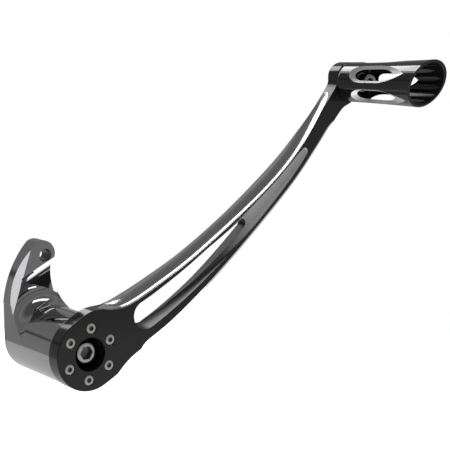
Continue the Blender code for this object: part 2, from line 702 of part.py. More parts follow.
def make_arm():
    """A plate milled to its outline, with three flutes, a slot, and holes for the screws at both ends."""
    black = material("black_anodised", (0.012, 0.012, 0.013), 0.12, 0.0)
    stations = [(x * ARM_REACH, z * ARM_RISE, half) for x, z, half in ARM_MIDDLE]
    outline = tapered_outline(smooth_curve(stations, 4), end_steps=24)
    arm = prism("brake_arm", outline, ARM_FRONT_Y, ARM_BACK_Y, black)
    bevelled(arm, ARM_BEVEL, math.radians(60))
    cut(arm, make_top_flute())
    cut(arm, make_edge_cove())
    cut(arm, make_middle_flute())
    over = CUTTER_OVERRUN
    slot = tapered_outline(on_arm(SLOT, 4))
    cut(arm, prism("arm slot", slot, ARM_FRONT_Y - over, ARM_BACK_Y + over))
    cut(arm, hole("arm bore", ARM_BORE_RADIUS, ARM_FRONT_Y - over, ARM_BACK_Y + over, (0, 0), ROUND))
    seat = ARM_FRONT_Y + ARM_SCREW_SUNK + ARM_SCREW_HEAD_HEIGHT + GAP
    for place, centre in enumerate(arm_screw_places(), 1):
        wide, narrow = ARM_SCREW_HEAD_RADIUS + GAP, ARM_SCREW_RADIUS + GAP
        profile = [
            (0, ARM_FRONT_Y - over),
            (wide, ARM_FRONT_Y - over),
            (wide, seat),
            (narrow, seat),
            (narrow, ARM_BACK_Y + over),
            (0, ARM_BACK_Y + over),
        ]
        cut(arm, turned(f"arm screw hole {place}", profile, SMALL_ROUND, centre=centre))
    for place, centre in enumerate(dowel_places(), 1):
        depth = DOWEL_LENGTH / 2 + GAP
        reamed = DOWEL_RADIUS + GAP
        cut(arm, hole(f"arm dowel {place}", reamed, ARM_BACK_Y - depth, ARM_BACK_Y + over, centre))
    tapped = PEG_SCREW_RADIUS + GAP
    front, back = ARM_FRONT_Y - over, ARM_BACK_Y + over
    cut(arm, hole("peg screw tapping", tapped, front, back, (PEG_X, PEG_Z)))
    reamed = PEG_DOWEL_RADIUS + GAP
    depth = PEG_DOWEL_LENGTH / 2 + GAP
    cut(arm, hole("arm peg dowel", reamed, front, ARM_FRONT_Y + depth, peg_dowel_place()))


def make_arm_fasteners():
    steel = material("small_screw_steel", (0.58, 0.56, 0.52), 0.3, 1.0)
    face = ARM_FRONT_Y + ARM_SCREW_SUNK
    head = (ARM_SCREW_HEAD_RADIUS, ARM_SCREW_HEAD_HEIGHT)
    for place, centre in enumerate(arm_screw_places(), 1):
        socket_screw(
            f"arm_screw_{place}", centre, face, head, ARM_SCREW_RADIUS, ARM_SCREW_GRIP, ARM_SCREW_KEY, steel
        )
    middle = HUB_FRONT_Y - GAP / 2
    for place, centre in enumerate(dowel_places(), 1):
        dowel(f"arm_dowel_{place}", DOWEL_RADIUS, DOWEL_LENGTH, middle, centre)


def dowel(name, radius, length, middle, centre):
    """A ground pin along Y with chamfered ends."""
    chamfer = radius * PIN_CHAMFER
    front, back = middle - length / 2, middle + length / 2
    profile = [
        (0, front),
        (radius - chamfer, front),
        (radius, front + chamfer),
        (radius, back - chamfer),
        (radius - chamfer, back),
        (0, back),
    ]
    turned(name, profile, SMALL_ROUND, material(f"{name}_steel", (0.5, 0.5, 0.5), 0.25, 1.0), centre)


# ---- toe peg ---------------------------------------------------------------------------------------------


def peg_dowel_place():
    return (PEG_X, PEG_Z - PEG_DOWEL_OFFSET)


def peg_radius(out):
    """Outer radius of the peg at a distance out from its root: straight at first, then a slight flare."""
    return PEG_ROOT_RADIUS + (PEG_MOUTH_RADIUS - PEG_ROOT_RADIUS) * (out / PEG_LENGTH) ** 1.5


def teardrop(steps, bluntness):
    """Half of a slot's outline as (share of its length, share of its width), from its round end to its point."""
    half = []
    for step in range(steps + 1):
        along = (1 - math.cos(math.pi * step / steps)) / 2
        start = min(1, along / PEG_SLOT_ROUND_END)
        closing = max(0, (along - PEG_SLOT_STRAIGHT) / (1 - PEG_SLOT_STRAIGHT))
        half.append((along, math.sqrt(1 - (1 - start) ** 2) * (1 - closing**bluntness)))
    return half


def make_peg_slot(angle):
    """A teardrop cutter that passes one wall and widens outwards, with its point towards the mouth."""
    radial = Vector((math.cos(angle), 0, math.sin(angle)))
    sideways = Vector((-math.sin(angle), 0, math.cos(angle)))
    foot = Vector((PEG_X, PEG_ROOT_Y, PEG_Z))

    def ring_at(opening, depth, flat):
        start, length, half_angle, bluntness = opening
        half = teardrop(12, bluntness)
        loop = half + [(along, -width) for along, width in reversed(half[1:-1])]
        points = []
        for along, width in loop:
            out = start + length * along
            radius = peg_radius(out) - depth
            across = radius * math.sin(half_angle * width)
            up = flat if flat else radius * math.cos(half_angle * width)
            points.append(foot + radial * up + sideways * across - Vector((0, out, 0)))
        return points

    rings = [
        ring_at(PEG_SLOT_INSIDE, PEG_WALL, PEG_ROOT_RADIUS / 2),
        ring_at(PEG_SLOT_INSIDE, PEG_WALL, None),
        ring_at(PEG_SLOT_OUTSIDE, 0, None),
        ring_at(PEG_SLOT_OUTSIDE, 0, PEG_MOUTH_RADIUS + PEG_WALL),
    ]
    return lofted(f"peg slot {round(math.degrees(angle))}", rings)


def make_peg():
    """A flared tube with a solid web at its root, five slots through its wall, and a slanted mouth."""
    longest = PEG_LENGTH + 1.5 * PEG_MOUTH_RADIUS * PEG_MOUTH_SLANT_UP
    steps = 10
    outs = [longest * step / steps for step in range(steps + 1)]
    outer = [(peg_radius(out), PEG_ROOT_Y - out) for out in outs]
    inner = [(peg_radius(out) - PEG_WALL, PEG_ROOT_Y - out) for out in outs if out > PEG_WEB]
    web_y = PEG_ROOT_Y - PEG_WEB
    profile = [
        (0, PEG_ROOT_Y),
        (PEG_ROOT_RADIUS - PEG_ROOT_CHAMFER, PEG_ROOT_Y),
        (PEG_ROOT_RADIUS, PEG_ROOT_Y - PEG_ROOT_CHAMFER),
        *outer[1:],
        *reversed(inner),
        (peg_radius(PEG_WEB) - PEG_WALL, web_y),
        (0, web_y),
    ]
    black = material("black_peg", (0.015, 0.015, 0.016), 0.15, 0.0)
    peg = turned("toe_peg", profile, ROUND, black, (PEG_X, PEG_Z))
    mouth_y = PEG_ROOT_Y - PEG_LENGTH
    far = 4 * PEG_MOUTH_RADIUS
    near_ring, far_ring = [], []
    for x, z in ((-far, -far), (far, -far), (far, far), (-far, far)):
        slant = PEG_MOUTH_SLANT_ALONG * x + PEG_MOUTH_SLANT_UP * z
        near_ring.append((PEG_X + x, mouth_y - slant, PEG_Z + z))
        far_ring.append((PEG_X + x, mouth_y - slant - far, PEG_Z + z))
    cut(peg, lofted("peg mouth", [near_ring, far_ring]))
    for place in range(PEG_SLOT_COUNT):
        cut(peg, make_peg_slot(PEG_SLOT_FIRST + math.tau * place / PEG_SLOT_COUNT))
    over = CUTTER_OVERRUN
    back = PEG_ROOT_Y + over
    cut(peg, hole("peg screw hole", PEG_SCREW_RADIUS + GAP, web_y - over, back, (PEG_X, PEG_Z)))
    depth = PEG_DOWEL_LENGTH / 2 + GAP
    cut(peg, hole("peg dowel hole", PEG_DOWEL_RADIUS + GAP, PEG_ROOT_Y - depth, back, peg_dowel_place()))


def make_peg_fasteners():
    steel = material("peg_screw_steel", (0.45, 0.45, 0.45), 0.3, 1.0)
    washer_back = PEG_ROOT_Y - PEG_WEB - GAP
    washer_front = washer_back - PEG_WASHER_THICKNESS
    inner = PEG_SCREW_RADIUS + GAP
    profile = [
        (inner, washer_front),
        (PEG_WASHER_RADIUS, washer_front),
        (PEG_WASHER_RADIUS, washer_back),
        (inner, washer_back),
    ]
    washer_steel = material("peg_washer_steel", (0.40, 0.40, 0.40), 0.35, 1.0)
    turned("peg_washer", profile, SMALL_ROUND, washer_steel, (PEG_X, PEG_Z))
    socket_screw(
        "peg_screw",
        (PEG_X, PEG_Z),
        washer_front - GAP - PEG_SCREW_HEAD_HEIGHT,
        (PEG_SCREW_HEAD_RADIUS, PEG_SCREW_HEAD_HEIGHT),
        PEG_SCREW_RADIUS,
        PEG_SCREW_GRIP,
        PEG_SCREW_KEY,
        steel,
    )
    middle = PEG_ROOT_Y + GAP / 2
    dowel("peg_dowel", PEG_DOWEL_RADIUS, PEG_DOWEL_LENGTH, middle, peg_dowel_place())


for old in list(bpy.data.objects):
    bpy.data.objects.remove(old, do_unlink=True)

make_pivot_shaft()
make_pivot_fasteners()
make_bushes_and_seals()
make_hub()
make_arm()
make_arm_fasteners()
make_peg()
make_peg_fasteners()
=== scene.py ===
"""Looks of a motorcycle's rear brake arm: a chromed hub with its ear, a black arm with bright cut
flutes, a black slotted toe peg, and the screws that hold them together."""

import math

import bmesh
import bpy
from mathutils import Matrix, Vector


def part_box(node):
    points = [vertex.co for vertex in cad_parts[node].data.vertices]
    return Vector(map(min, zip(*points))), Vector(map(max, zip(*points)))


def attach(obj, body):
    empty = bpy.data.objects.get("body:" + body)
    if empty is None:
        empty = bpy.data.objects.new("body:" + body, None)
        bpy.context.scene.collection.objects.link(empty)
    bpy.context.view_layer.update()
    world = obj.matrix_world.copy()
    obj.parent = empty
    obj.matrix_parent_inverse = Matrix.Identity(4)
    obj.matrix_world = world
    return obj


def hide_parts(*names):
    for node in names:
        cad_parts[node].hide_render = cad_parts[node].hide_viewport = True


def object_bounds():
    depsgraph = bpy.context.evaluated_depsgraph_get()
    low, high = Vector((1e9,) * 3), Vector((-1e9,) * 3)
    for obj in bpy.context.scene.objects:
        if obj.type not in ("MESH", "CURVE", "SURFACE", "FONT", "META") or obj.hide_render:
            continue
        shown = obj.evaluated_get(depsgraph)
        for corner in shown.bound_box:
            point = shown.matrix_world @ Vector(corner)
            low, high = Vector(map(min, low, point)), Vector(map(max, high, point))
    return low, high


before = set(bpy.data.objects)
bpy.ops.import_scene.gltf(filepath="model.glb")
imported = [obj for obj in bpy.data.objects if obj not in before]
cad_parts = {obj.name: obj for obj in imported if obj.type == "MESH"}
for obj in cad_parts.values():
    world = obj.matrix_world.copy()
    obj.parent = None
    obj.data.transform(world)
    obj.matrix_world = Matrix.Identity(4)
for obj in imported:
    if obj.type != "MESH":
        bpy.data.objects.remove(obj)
cad_low, cad_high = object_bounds()

# ---- pivot shaft -----------------------------------------------------------------------------------------
# The pin that the lever swings on, screwed into the motorcycle's frame by a fine-threaded stud.
# Medium carbon steel, turned from bar and zinc plated, with a flange that seats on the frame.


class Shade:
    """One output of a material's nodes, which can be reckoned with like a number."""

    def __init__(self, tree, socket):
        self.tree = tree
        self.socket = socket

    def node(self, kind, settings=None, output=0, **sockets):
        """A new node of that type. Settings come first, then its sockets, by name or as _number."""
        made = self.tree.nodes.new(kind)
        for setting, value in (settings or {}).items():
            if setting == "stops":
                first, last = made.color_ramp.elements
                first.position, first.color = value[0][0], (*value[0][1], 1)
                last.position, last.color = value[-1][0], (*value[-1][1], 1)
                for place, colour in value[1:-1]:
                    made.color_ramp.elements.new(place).color = (*colour, 1)
            else:
                setattr(made, setting, value)
        for name, value in sockets.items():
            number = name.removeprefix("_")
            socket = made.inputs[int(number) if number.isdigit() else name.replace("_", " ")]
            if isinstance(value, Shade):
                self.tree.links.new(value.socket, socket)
            else:
                socket.default_value = value
        return Shade(self.tree, made.outputs[output])

    def reckon(self, operation, first, second):
        return self.node("ShaderNodeMath", {"operation": operation}, _0=first, _1=second)

    def __add__(self, other):
        return self.reckon("ADD", self, other)

    def __radd__(self, other):
        return self.reckon("ADD", other, self)

    def __mul__(self, other):
        return self.reckon("MULTIPLY", self, other)

    def __rmul__(self, other):
        return self.reckon("MULTIPLY", other, self)


def new_finish(name, roughness, metallic):
    """A material, its shader node, and the object coordinates to draw its detail with."""
    made = bpy.data.materials.new(name)
    made.use_nodes = True
    shader = made.node_tree.nodes["Principled BSDF"]
    shader.inputs["Roughness"].default_value = roughness
    shader.inputs["Metallic"].default_value = metallic
    place = Shade(made.node_tree, None).node("ShaderNodeTexCoord", output=3)
    return made, shader, place


def speckle(place, scale, detail=3.0, roughness=0.55):
    """Soft random patches, from 0 to 1, that many to the metre."""
    return place.node("ShaderNodeTexNoise", Vector=place, Scale=scale, Detail=detail, Roughness=roughness)


def tint(amount, dark, light):
    """A colour between two, by an amount from 0 to 1."""
    return amount.node("ShaderNodeMix", {"data_type": "RGBA"}, 2, _0=amount, _6=(*dark, 1), _7=(*light, 1))


def raised(place, height, distance, strength=1.0):
    """The normal of a surface raised by height times the distance."""
    return place.node("ShaderNodeBump", Height=height, Distance=distance, Strength=strength)


def wear(shader, **sockets):
    """Links shades to the shader's sockets."""
    for name, shade in sockets.items():
        shade.tree.links.new(shade.socket, shader.inputs[name.replace("_", " ")])


def off_axis(place, middle):
    """The distance from an axis along Y through the middle."""
    away = place.node("ShaderNodeVectorMath", {"operation": "SUBTRACT"}, _0=place, _1=middle)
    flat = away.node("ShaderNodeVectorMath", {"operation": "MULTIPLY"}, _0=away, _1=(1, 0, 1))
    return flat.node("ShaderNodeVectorMath", {"operation": "LENGTH"}, 1, _0=flat)


def turned_steel(name, dark, light, roughness, centre, ring_width=0.00012):
    """Steel with the fine rings of a lathe tool round an axis along Y through centre, and a faint mottle."""
    made, shader, place = new_finish(name, roughness, 1.0)
    radius = off_axis(place, (centre[0], 0, centre[1]))
    depth = place.node("ShaderNodeSeparateXYZ", output=1, Vector=place)
    rings = radius.node(
        "ShaderNodeTexNoise", {"noise_dimensions": "1D"}, W=(radius + depth) * (1 / ring_width), Detail=2.0
    )
    mottle = speckle(place, 420.0)
    wear(
        shader,
        Base_Color=tint(mottle, dark, light),
        Roughness=mottle * 0.16 + (roughness - 0.08) + rings * 0.08,
        Normal=raised(place, rings, 0.00001, 0.5),
    )
    return made


def settle(name, shape, *finishes, angle=32):
    """The bmesh as a piece: its faces turned outwards, its round sides smooth and its corners crisp."""
    bmesh.ops.recalc_face_normals(shape, faces=shape.faces)
    mesh = bpy.data.meshes.new(name)
    shape.to_mesh(mesh)
    shape.free()
    for finish in finishes:
        mesh.materials.append(finish)
    mesh.shade_smooth()
    mesh.set_sharp_from_angle(angle=math.radians(angle))
    piece = bpy.data.objects.new(name, mesh)
    bpy.context.scene.collection.objects.link(piece)
    return piece


def turned(name, profile, sides, *finishes, centre=(0.0, 0.0), edge=0.0):
    """A profile of (radius, y) turned about an axis along Y through centre. Edge rounds its corners."""
    shape = bmesh.new()
    points = [shape.verts.new((radius, y, 0)) for radius, y in profile]
    pairs = list(zip(points, points[1:]))
    if profile[0][0] > 0:
        pairs.append((points[-1], points[0]))
    for pair in pairs:
        shape.edges.new(pair)
    if edge:
        corners = [p for p in points if p.co.x > 0]
        bmesh.ops.bevel(
            shape, geom=corners, offset=edge, segments=3, profile=0.5, affect="VERTICES", material=-1
        )
    bmesh.ops.spin(
        shape,
        geom=[*shape.verts, *shape.edges],
        cent=(0, 0, 0),
        axis=(0, 1, 0),
        angle=math.tau,
        steps=sides,
        use_merge=True,
    )
    bmesh.ops.remove_doubles(shape, verts=shape.verts, dist=1e-7)
    bmesh.ops.translate(shape, verts=shape.verts, vec=(centre[0], 0, centre[1]))
    return settle(name, shape, *finishes)


zinc = turned_steel("zinc_plated_steel", (0.44, 0.44, 0.45), (0.60, 0.60, 0.61), 0.30, (0, 0))
shaft_low, shaft_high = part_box("pivot_shaft")
stud, stud_chamfer = 0.0060, 0.0012
thread_depth, pitch, thread_count = 0.00070, 0.00125, 10
crest_share, root_share = 0.2, 0.6
neck, neck_length = stud - 0.0009, 0.0018
seat_y, flange_y = -0.0160, -0.0195
flange, flange_chamfer = shaft_high.x, 0.0006
shaft_radius, tapped_radius, tapped_depth = 0.0080, 0.0051, 0.0300
stud_profile = [(0, shaft_high.y), (stud - stud_chamfer, shaft_high.y)]
for turn in range(thread_count):
    crest = shaft_high.y - stud_chamfer - pitch * turn
    stud_profile += [
        (stud, crest),
        (stud, crest - pitch * crest_share),
        (stud - thread_depth, crest - pitch * root_share),
    ]
stud_profile += [(neck, seat_y + neck_length), (neck, seat_y)]
pin_profile = [
    (flange - flange_chamfer, seat_y),
    (flange, seat_y - flange_chamfer),
    (flange, flange_y + flange_chamfer),
    (flange - flange_chamfer, flange_y),
    (shaft_radius, flange_y),
    (shaft_radius, shaft_low.y),
    (tapped_radius, shaft_low.y),
    (tapped_radius, shaft_low.y + tapped_depth),
    (0, shaft_low.y + tapped_depth),
]
pivot_pin = turned("turned_pivot_pin", stud_profile + pin_profile, 128, zinc)
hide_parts("pivot_shaft")
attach(pivot_pin, "shaft")

# ---- thrust washer ---------------------------------------------------------------------------------------
# Takes the side load between the shaft's flange and the hub. Bronze sheet, blanked and lapped flat,
# and slipped loose over the shaft.
bronze = turned_steel("lapped_bronze", (0.42, 0.27, 0.12), (0.60, 0.42, 0.20), 0.34, (0, 0), 0.0003)


def flat_ring(name, node, inner, finish, centre=(0.0, 0.0), sides=128, edge=0.0002):
    """A washer that fills the box of a CAD node, with that radius of hole."""
    low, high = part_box(node)
    outer = (high.x - low.x) / 2
    profile = [(inner, low.y), (outer, low.y), (outer, high.y), (inner, high.y)]
    made = turned(name, profile, sides, finish, centre=centre, edge=edge)
    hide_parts(node)
    return made


running_gap = 0.0003
thrust_ring = flat_ring("bronze_thrust_ring", "thrust_washer", shaft_radius + running_gap, bronze)
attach(thrust_ring, "shaft")

# ---- bushes, seals and dowels ----------------------------------------------------------------------------
# Two oil-filled bronze bushes pressed into the hub, a rubber seal beyond each, and three ground dowels.
# They are shut in by the other pieces, so they keep their plain shapes.
rubber, rubber_shader, rubber_place = new_finish("moulded_rubber", 0.6, 0.0)
rubber_grain = speckle(rubber_place, 1500.0)
wear(
    rubber_shader,
    Base_Color=tint(rubber_grain, (0.012, 0.012, 0.012), (0.026, 0.026, 0.027)),
    Roughness=rubber_grain * 0.2 + 0.5,
    Normal=raised(rubber_place, rubber_grain, 0.00002),
)
ground = turned_steel("ground_dowel_steel", (0.42, 0.42, 0.43), (0.54, 0.54, 0.54), 0.2, (0, 0), 0.0002)
for node, finish in (
    ("bush_front", bronze),
    ("bush_rear", bronze),
    ("seal_front", rubber),
    ("seal_rear", rubber),
    ("arm_dowel_1", ground),
    ("arm_dowel_2", ground),
    ("peg_dowel", ground),
):
    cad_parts[node].material_slots[0].material = finish

# ---- hub and ear -----------------------------------------------------------------------------------------
# The barrel that turns on the shaft, with the ear that pulls the master cylinder's push rod.
# One steel forging, turned, milled to the ear's outline, drilled, then polished and dark chromed.
chrome, chrome_shader, chrome_place = new_finish("dark_chrome", 0.05, 1.0)
polish = speckle(chrome_place, 55.0, 2.0)
swirl = chrome_place.node(
    "ShaderNodeTexNoise", Vector=chrome_place, Scale=900.0, Detail=4.0, Roughness=0.7, Distortion=1.5
)
wear(
    chrome_shader,
    Base_Color=tint(polish, (0.33, 0.33, 0.34), (0.38, 0.38, 0.39)),
    Roughness=polish * 0.03 + 0.025 + swirl * 0.02,
    Normal=raised(chrome_place, swirl, 0.000002, 0.35),
)
# Painted shade: the bore and the ear's pin hole are lined with steel painted near black, darker than bare
# reamed steel.
shaded_bore_steel = turned_steel("painted_shade_reamed_steel", (0.07, 0.07, 0.07), (0.15, 0.15, 0.15), 0.35, (0, 0), 0.0004)


def arc(centre, radius, start, end, steps):
    """Points on an arc in the XZ plane, both ends included, with angles from +X towards +Z."""
    angles = [start + (end - start) * step / steps for step in range(steps + 1)]
    return [(centre[0] + radius * math.cos(a), centre[1] + radius * math.sin(a)) for a in angles]


def arc_through(start, middle, end, steps):
    """Points on the circle through three points, from the first to the last."""
    (ax, az), (bx, bz), (cx, cz) = start, middle, end
    twice = 2 * (ax * (bz - cz) + bx * (cz - az) + cx * (az - bz))
    a2, b2, c2 = ax**2 + az**2, bx**2 + bz**2, cx**2 + cz**2
    x = (a2 * (bz - cz) + b2 * (cz - az) + c2 * (az - bz)) / twice
    z = (a2 * (cx - bx) + b2 * (ax - cx) + c2 * (bx - ax)) / twice
    first, last, inside = (math.atan2(pz - z, px - x) for px, pz in (start, end, middle))
    turn = (last - first) % math.tau
    if (inside - first) % math.tau > turn:
        turn -= math.tau
    return arc((x, z), math.hypot(ax - x, az - z), first, first + turn, steps)


def plate(name, outline, front, back, *finishes, bevel=0.0):
    """An outline in the XZ plane, thickened from front to back along Y, with its two rims rounded."""
    shape = bmesh.new()
    face = shape.faces.new([shape.verts.new((x, front, z)) for x, z in outline])
    grown = bmesh.ops.extrude_face_region(shape, geom=[face])
    moved = [part for part in grown["geom"] if isinstance(part, bmesh.types.BMVert)]
    bmesh.ops.translate(shape, verts=moved, vec=(0, back - front, 0))
    if bevel:
        rims = [edge for edge in shape.edges if edge.verts[0].co.y == edge.verts[1].co.y]
        bmesh.ops.bevel(shape, geom=rims, offset=bevel, segments=3, profile=0.5, affect="EDGES", material=-1)
    return settle(name, shape, *finishes)


def ring_of(shape, places):
    """A closed loop of new edges through the places."""
    corners = [shape.verts.new(place) for place in places]
    return [shape.edges.new(pair) for pair in zip(corners, corners[1:] + corners[:1])]


def bridged(name, shape, rings):
    """Loops of edges, each joined to the next and the two ends filled."""
    for start, end in zip(rings, rings[1:]):
        bmesh.ops.bridge_loops(shape, edges=start + end)
    bmesh.ops.holes_fill(shape, edges=shape.edges)
    return settle(name, shape)


def carve(piece, cutter, lining=0, operation="DIFFERENCE"):
    """Cuts the cutter from the piece for good. The new faces take that slot of the piece's finishes."""
    cutter.data.materials.clear()
    for finish in piece.data.materials:
        cutter.data.materials.append(finish)
    for face in cutter.data.polygons:
        face.material_index = lining
    boolean = piece.modifiers.new("cut", "BOOLEAN")
    boolean.operation = operation
    boolean.object = cutter
    boolean.material_mode = "INDEX"
    bpy.context.view_layer.update()
    graph = bpy.context.evaluated_depsgraph_get()
    left = bpy.data.meshes.new_from_object(
        piece.evaluated_get(graph), preserve_all_data_layers=True, depsgraph=graph
    )
    piece.modifiers.clear()
    whole, piece.data = piece.data, left
    bpy.data.meshes.remove(whole)
    bpy.data.objects.remove(cutter)


def drill(piece, radius, front, back, centre, lining=0, sides=96):
    """Cuts a round hole along Y."""
    profile = [(0, front), (radius, front), (radius, back), (0, back)]
    carve(piece, turned("drill", profile, sides, centre=centre), lining)


def crisp(piece, angle=30):
    """Keeps the piece's flats flat up to their corners, and its corners sharp."""
    piece.data.shade_smooth()
    piece.data.set_sharp_from_angle(angle=math.radians(angle))
    weighting = piece.modifiers.new("flats", "WEIGHTED_NORMAL")
    weighting.keep_sharp = True
    weighting.weight = 100


hub_low, hub_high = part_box("hub")
barrel, barrel_edge = 0.0245, 0.0008
milled = barrel + 0.00005
thrust_face, thrust_radius, thrust_edge = 0.0005, 0.0165, 0.0001
front_y, back_y = hub_low.y, hub_high.y - thrust_face
ear_y = back_y - 0.0130
fillet = 0.0130
tip, tip_radius = (-0.0004, 0.0590), 0.0098
blank = 2 * tip[1]
foot = arc((barrel + fillet, ear_y - fillet), fillet, math.pi, math.pi / 2, 40)
hub_profile = [
    (0, front_y),
    (barrel - barrel_edge, front_y),
    (barrel - barrel_edge / 4, front_y + barrel_edge / 4),
    (barrel, front_y + barrel_edge),
    *foot,
    (blank, ear_y),
    (blank, back_y),
    (thrust_radius, back_y),
    (thrust_radius, back_y + thrust_face - thrust_edge),
    (thrust_radius - thrust_edge, back_y + thrust_face),
    (0, back_y + thrust_face),
]
hub_body = turned("chromed_hub", hub_profile, 256, chrome, shaded_bore_steel)
top = arc(tip, tip_radius, math.radians(122), math.radians(-5), 48)
back_corner, back_foot, back_bulge = (-milled, 0.0248), (-0.0248, 0.0262), (-0.0183, 0.0490)
long_back = arc_through(back_foot, back_bulge, top[0], 64)
round_side = arc((0, 0), milled, math.radians(42), -math.pi, 256)
waist = (0.0090, 0.0375)
hollow = arc_through(top[-1], waist, round_side[0], 64)
ear_outline = [back_corner, *long_back[:-1], *top, *hollow[1:-1], *round_side]
over = 0.002
carve(hub_body, plate("ear shape", ear_outline, front_y - over, back_y + over), 0, "INTERSECT")
scoop_angle = math.radians(26)
scoop_along = Vector((math.cos(scoop_angle), 0, math.sin(scoop_angle)))
scoop_across = Vector((-scoop_along.z, 0, scoop_along.x))
scoop_top, scoop_low, scoop_depth, scoop_run = 0.0467, 0.0230, 0.0050, 0.0095
scoop_steps = 32
scoop_wall = [math.pi / 2 * (1 - step / scoop_steps) for step in range(scoop_steps + 1)]
scoop_section = [
    (scoop_low, ear_y - fillet),
    (scoop_low, ear_y + scoop_depth),
    *[(scoop_top - scoop_run * (1 - math.cos(a)), ear_y + scoop_depth * math.sin(a)) for a in scoop_wall],
    (scoop_top, ear_y - fillet),
]
scoop_shape = bmesh.new()
scoop_rings = []
for slope, start in ((0.88, 0.0044), (0.0, 0.0490)):
    places = []
    for distance, y in scoop_section:
        along = scoop_along * (start - slope * (scoop_top - distance))
        places.append(scoop_across * distance + along + Vector((0, y, 0)))
    scoop_rings.append(ring_of(scoop_shape, places))
scoop = bridged("scoop", scoop_shape, scoop_rings)
lip_centre, lip_radius, lip_chamfer = (-0.0066, 0.0158), 0.0213, 0.0008
lip = [
    (0, ear_y - fillet - over),
    (lip_radius - lip_chamfer, ear_y - fillet - over),
    (lip_radius - lip_chamfer, ear_y),
    (lip_radius, ear_y + lip_chamfer),
    (lip_radius, ear_y + scoop_depth + over),
    (0, ear_y + scoop_depth + over),
]
carve(scoop, turned("lip", lip, 256, centre=lip_centre))
carve(hub_body, scoop)
edge_top, edge_foot = Vector((-0.0115, 0, 0.0571)), Vector((-0.0243, 0, 0.0196))
edge_way = (edge_top - edge_foot).normalized()
edge_out = Vector((-edge_way.z, 0, edge_way.x))
edge_width = 0.0065
edge_section = ((0, 0), (edge_width, edge_width), (edge_width, -fillet), (0, -fillet))
edge_shape = bmesh.new()
edge_rings = []
for end in (edge_foot - edge_way * tip_radius, edge_top + edge_way * 2 * tip_radius):
    places = [end + edge_out * out + Vector((0, ear_y + y, 0)) for out, y in edge_section]
    edge_rings.append(ring_of(edge_shape, places))
carve(hub_body, bridged("ear edge", edge_shape, edge_rings))
rim, pin_hole = 0.0006, 0.0041
pin_centre = (tip[0] + 0.0022, tip[1] - 0.0009)
pin_drill = [
    (0, ear_y - rim),
    (pin_hole + 2 * rim, ear_y - rim),
    (pin_hole, ear_y + rim),
    (pin_hole, back_y - rim),
    (pin_hole + 2 * rim, back_y + rim),
    (0, back_y + rim),
]
carve(hub_body, turned("pin drill", pin_drill, 96, centre=pin_centre), 1)
seat, recess, ledge = 0.0101, 0.0118, 0.0050
bore = [
    (0, front_y - over),
    (recess, front_y - over),
    (recess, front_y + ledge),
    (seat, front_y + ledge),
    (seat, back_y + over),
    (0, back_y + over),
]
carve(hub_body, turned("bore", bore, 128), 1)
crisp(hub_body)
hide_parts("hub")
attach(hub_body, "lever")

# ---- arm -------------------------------------------------------------------------------------------------
# A plate of aluminium, milled to a long taper and powder coated gloss black. The flutes and the dished
# pocket are cut after coating, so they are bare bright metal with the cutter's fine lines along them.
# The slot's wall stays black.


def gloss_black(name, low, high, roughness, shine=0.42):
    """Smooth black coating with a faint orange peel."""
    made, shader, place = new_finish(name, roughness, 0.0)
    peel = speckle(place, 1400.0, 1.0)
    cloud = speckle(place, 90.0, 3.0)
    wear(
        shader,
        Base_Color=tint(cloud, low, high),
        Roughness=cloud * 0.08 + (roughness - 0.04),
        Normal=raised(place, peel, 0.000012, 0.35),
    )
    shader.inputs["Specular IOR Level"].default_value = shine
    return made


def bright_cut(name, middle, roughness, line_width=0.00018):
    """Bare aluminium with cutter lines that run round a far middle, and so along a curved flute."""
    made, shader, place = new_finish(name, roughness, 1.0)
    radius = off_axis(place, middle)
    depth = place.node("ShaderNodeSeparateXYZ", output=1, Vector=place)
    lines = radius.node(
        "ShaderNodeTexNoise",
        {"noise_dimensions": "1D"},
        W=(radius + depth * 1.3) * (1 / line_width),
        Detail=3.0,
    )
    mottle = speckle(place, 160.0)
    wear(
        shader,
        Base_Color=tint(lines * 0.6 + mottle * 0.4, (0.52, 0.52, 0.525), (0.70, 0.70, 0.705)),
        Roughness=mottle * 0.08 + (roughness - 0.06) + lines * 0.05,
        Normal=raised(place, lines, 0.000004, 0.25),
    )
    return made


arm_black = gloss_black("powder_coat_black", (0.0085, 0.0085, 0.0090), (0.0115, 0.0115, 0.0120), 0.12)
arm_low, arm_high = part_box("brake_arm")
arm_front, arm_back = arm_low.y, arm_high.y
reach, rise = 0.2350, 0.1756
middle_stations = (
    (0.000, 0.000, 0.0250),
    (0.048, 0.034, 0.0249),
    (0.103, 0.065, 0.0206),
    (0.169, 0.104, 0.0192),
    (0.255, 0.161, 0.0181),
    (0.383, 0.263, 0.0154),
    (0.553, 0.425, 0.0124),
    (0.723, 0.610, 0.0101),
    (0.830, 0.751, 0.0085),
    (0.902, 0.858, 0.0075),
    (0.945, 0.922, 0.0081),
    (0.973, 0.955, 0.0106),
    (0.988, 0.977, 0.0134),
    (1.000, 1.000, 0.0150),
)


def smooth_curve(points, steps):
    """A smooth curve through the points, whatever number of values each holds, with steps to each span."""
    padded = [points[0], *points, points[-1]]
    curve = []
    for before, start, end, after in zip(padded, padded[1:], padded[2:], padded[3:]):
        for step in range(steps):
            t = step / steps
            weights = (
                (-t + 2 * t**2 - t**3) / 2,
                (2 - 5 * t**2 + 3 * t**3) / 2,
                (t + 4 * t**2 - 3 * t**3) / 2,
                (-(t**2) + t**3) / 2,
            )
            places = zip(before, start, end, after)
            curve.append(tuple(sum(w * v for w, v in zip(weights, values)) for values in places))
    curve.append(tuple(points[-1]))
    return curve


full_stations = [(x * reach, z * rise, half) for x, z, half in middle_stations]
middle_line, fine_line = smooth_curve(full_stations, 8), smooth_curve(full_stations, 16)


